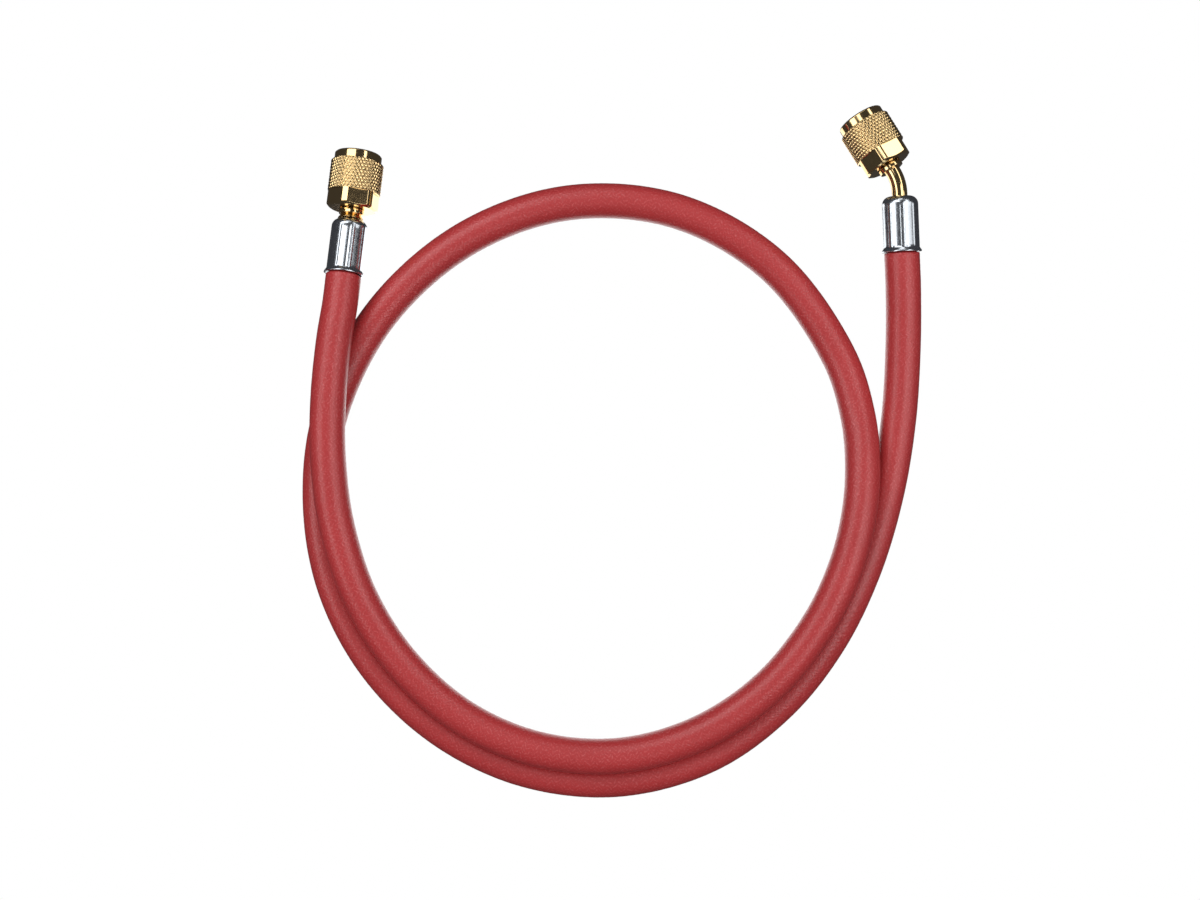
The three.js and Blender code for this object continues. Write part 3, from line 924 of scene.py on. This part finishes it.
def depressor_mesh(matrix):
    """A bar across the seat, with a section that is a rounded rectangle (a fourth-power oval), and a pin
    standing on its middle with a domed end."""
    length, width, height = DEPRESSOR_BAR
    t = np.linspace(-1, 1, DEPRESSOR_ROWS)
    swell = (1 - t**8) ** 0.5
    a = np.arange(DEPRESSOR_COLUMNS) * 2 * np.pi / DEPRESSOR_COLUMNS
    oval = (np.cos(a) ** 4 + np.sin(a) ** 4) ** -0.25
    y = swell[:, None] * width / 2 * np.cos(a) * oval
    z = height / 2 + swell[:, None] * height / 2 * np.sin(a) * oval
    x = np.repeat((t * length / 2)[:, None], DEPRESSOR_COLUMNS, axis=1)
    bar = np.stack([x, y, z], -1).reshape(-1, 3)
    radius = DEPRESSOR_PIN_RADIUS
    top = height + DEPRESSOR_PIN_LENGTH
    dome = np.linspace(0, np.pi / 2, 7)
    profile = [(0.0, 0.3 * height), (radius, 0.3 * height), (radius, top - 0.5 * radius)]
    profile += [(radius * math.cos(d), top - 0.5 * radius * (1 - math.sin(d))) for d in dome[1:]]
    profile = np.array(profile)
    r, h = profile[:, :1], np.repeat(profile[:, 1:], DEPRESSOR_COLUMNS, axis=1)
    pin = np.stack([r * np.cos(a), r * np.sin(a), h], -1).reshape(-1, 3)
    bar_faces = grid_faces(DEPRESSOR_ROWS, DEPRESSOR_COLUMNS)
    faces = [bar_faces, grid_faces(len(profile), DEPRESSOR_COLUMNS) + len(bar)]
    return placed(np.concatenate([bar, pin]), matrix), np.concatenate(faces)


class HOSE_OT_seals(Operator):
    """Seat the seal rings and the core depressor inside the nuts"""

    bl_idname = "charging.seals"
    bl_label = "Seals and depressor"

    def execute(self, context):
        scene = context.scene
        seal, brass = (shared_material(scene, k) for k in ("Black seal rubber", "Turned brass"))
        for name, nut in (("straight_seal_ring", STRAIGHT_NUT_FRAME), ("elbow_seal_ring", ELBOW_NUT_FRAME)):
            points, faces = seal_mesh(along(nut, NUT_TO_HEAD_FRONT + FIT_GAP))
            mesh_piece(name, points, faces, seal, "hose_assembly")
        seat = NUT_TO_HEAD_FRONT + NIPPLE_LENGTH - SEAT_DEPTH + FIT_GAP
        points, faces = depressor_mesh(along(turned(ELBOW_NUT_FRAME, -ELBOW_NUT_TURN), seat))
        welded(mesh_piece("core_depressor", points, faces, brass, "hose_assembly"))
        return {"FINISHED"}


class HOSE_OT_cord(Operator):
    bl_idname = "charging.cord"
    bl_label = "Cord"

    def execute(self, context):
        return {"FINISHED"}


# Camera, floor and light

CAMERA_OVER = (-0.0084, -0.0930)
SENSOR_WIDTH = 36.0
WHITE = (1.0, 1.0, 1.0, 1.0)
ROOM_COLOUR = (0.05, 0.05, 0.055, 1.0)
FLOOR_LEVEL = -0.0002
FLOOR_REACH = 6
BOX_HEIGHT = 1.0
# Each soft box: left, right, near and far edge on a ceiling one metre up, and its share of the light
SOFT_BOXES = {
    "left": (-1.9, -0.75, -0.7, 0.2, 1.0),
    "left far": (-1.3, -0.18, 0.24, 1.4, 1.0),
    "right inner": (0.34, 0.75, -0.7, 0.22, 1.0),
    "right far": (0.7, 1.1, 0.24, 1.4, 1.0),
    "right outer": (0.75, 2.6, -0.7, 0.22, 0.55),
    "far": (-0.45, 0.3, 1.5, 2.4, 0.8),
}
# A wide soft light that metal doesn't mirror
FILL_SIZE = (2.4, 2.4)
FILL_SHARE = 0.26
# The round light table under the clear floor
TABLE_CENTRE = (-0.0075, -0.107)
TABLE_RADIUS = 0.130
TABLE_DEPTH = 0.15
TABLE_SHARE = 0.7


def end_by_ray(n, seen, otherwise, output):
    """Ends a tree with one shader for the camera's own rays and another for all other rays."""
    ray = n.add("ShaderNodeLightPath").outputs["Is Camera Ray"]
    mixed = n.add("ShaderNodeMixShader", {0: ray, 1: otherwise.outputs[0], 2: seen.outputs[0]})
    n.add(output, {"Surface": mixed.outputs[0]})


def floor_material():
    """White where the camera sees it, and clear to every other ray, which sees the light table below."""
    material = bpy.data.materials.new("Studio floor")
    material.use_nodes = True
    n = Nodes(material.node_tree)
    n.tree.nodes.clear()
    clear = n.add("ShaderNodeBsdfTransparent")
    seen = n.add("ShaderNodeEmission", {"Color": WHITE, "Strength": 1.0})
    end_by_ray(n, seen, clear, "ShaderNodeOutputMaterial")
    return material


def room_world():
    """A dim room, which looks as white as the floor to the camera."""
    world = bpy.data.worlds.new("Studio")
    world.use_nodes = True
    n = Nodes(world.node_tree)
    n.tree.nodes.clear()
    dim = n.add("ShaderNodeBackground", {"Color": ROOM_COLOUR})
    seen = n.add("ShaderNodeBackground", {"Color": WHITE})
    end_by_ray(n, seen, dim, "ShaderNodeOutputWorld")
    return world


def area_light(scene, name, shape, size, radiance):
    """An area light that the camera doesn't see. Its power is pi times its area times its radiance."""
    light = bpy.data.lights.new(name, "AREA")
    light.shape = shape
    light.size, light.size_y = size
    area = size[0] * size[1] * (math.pi / 4 if shape == "DISK" else 1)
    light.energy = math.pi * area * radiance
    lamp = bpy.data.objects.new(name, light)
    lamp.visible_camera = False
    scene.collection.objects.link(lamp)
    return lamp


class HOSE_OT_stage(Operator):
    """Set up the camera, the floor and the soft boxes"""

    bl_idname = "charging.stage"
    bl_label = "Stage"

    def execute(self, context):
        scene = context.scene
        settings = scene.stage_settings
        camera = bpy.data.objects.new("Camera", bpy.data.cameras.new("Camera"))
        camera.data.lens = settings.lens
        camera.data.sensor_width = SENSOR_WIDTH
        camera.location = (*CAMERA_OVER, settings.height)
        scene.collection.objects.link(camera)
        scene.camera = camera
        mesh = bpy.data.meshes.new("floor")
        sides = ((-1, -1), (1, -1), (1, 1), (-1, 1))
        corners = [(x * FLOOR_REACH, y * FLOOR_REACH, FLOOR_LEVEL) for x, y in sides]
        mesh.from_pydata(corners, [], [(0, 1, 2, 3)])
        mesh.materials.append(floor_material())
        floor = bpy.data.objects.new("floor", mesh)
        scene.collection.objects.link(floor)
        for name, (left, right, near, far, share) in SOFT_BOXES.items():
            box = area_light(scene, name, "RECTANGLE", (right - left, far - near), settings.light * share)
            box.location = ((left + right) / 2, (near + far) / 2, BOX_HEIGHT)
        fill = area_light(scene, "fill", "RECTANGLE", FILL_SIZE, settings.light * FILL_SHARE)
        fill.location = (*TABLE_CENTRE, BOX_HEIGHT)
        fill.visible_glossy = False
        size = (2 * TABLE_RADIUS, 2 * TABLE_RADIUS)
        table = area_light(scene, "light table", "DISK", size, settings.light * TABLE_SHARE)
        table.location = (*TABLE_CENTRE, -TABLE_DEPTH)
        table.rotation_euler = (math.pi, 0, 0)
        scene.world = room_world()
        scene.view_settings.view_transform = "Standard"
        return {"FINISHED"}


class HOSE_PT_panel(Panel):
    """Buttons for the hose's pieces"""

    bl_idname = "HOSE_PT_panel"
    bl_label = "Charging hose"
    bl_space_type = "VIEW_3D"
    bl_region_type = "UI"
    bl_category = "Hose"

    def draw(self, context):
        for operator in OPERATORS:
            self.layout.operator(operator.bl_idname)


OPERATORS = (
    HOSE_OT_stage, HOSE_OT_hose, HOSE_OT_ferrules, HOSE_OT_tails, HOSE_OT_nuts, HOSE_OT_seals, HOSE_OT_cord
)
SETTINGS = {
    "hose_settings": HoseSettings,
    "ferrule_settings": FerruleSettings,
    "brass_settings": BrassSettings,
    "stage_settings": StageSettings,
}


def register():
    for cls in (*SETTINGS.values(), *OPERATORS, HOSE_PT_panel):
        bpy.utils.register_class(cls)
    for name, cls in SETTINGS.items():
        setattr(bpy.types.Scene, name, PointerProperty(type=cls))


def unregister():
    for name in SETTINGS:
        delattr(bpy.types.Scene, name)
    for cls in (HOSE_PT_panel, *reversed(OPERATORS), *SETTINGS.values()):
        bpy.utils.unregister_class(cls)


def main():
    register()
    for operator in OPERATORS:
        group, name = operator.bl_idname.split(".")
        getattr(getattr(bpy.ops, group), name)()


if __name__ == "__main__":
    main()
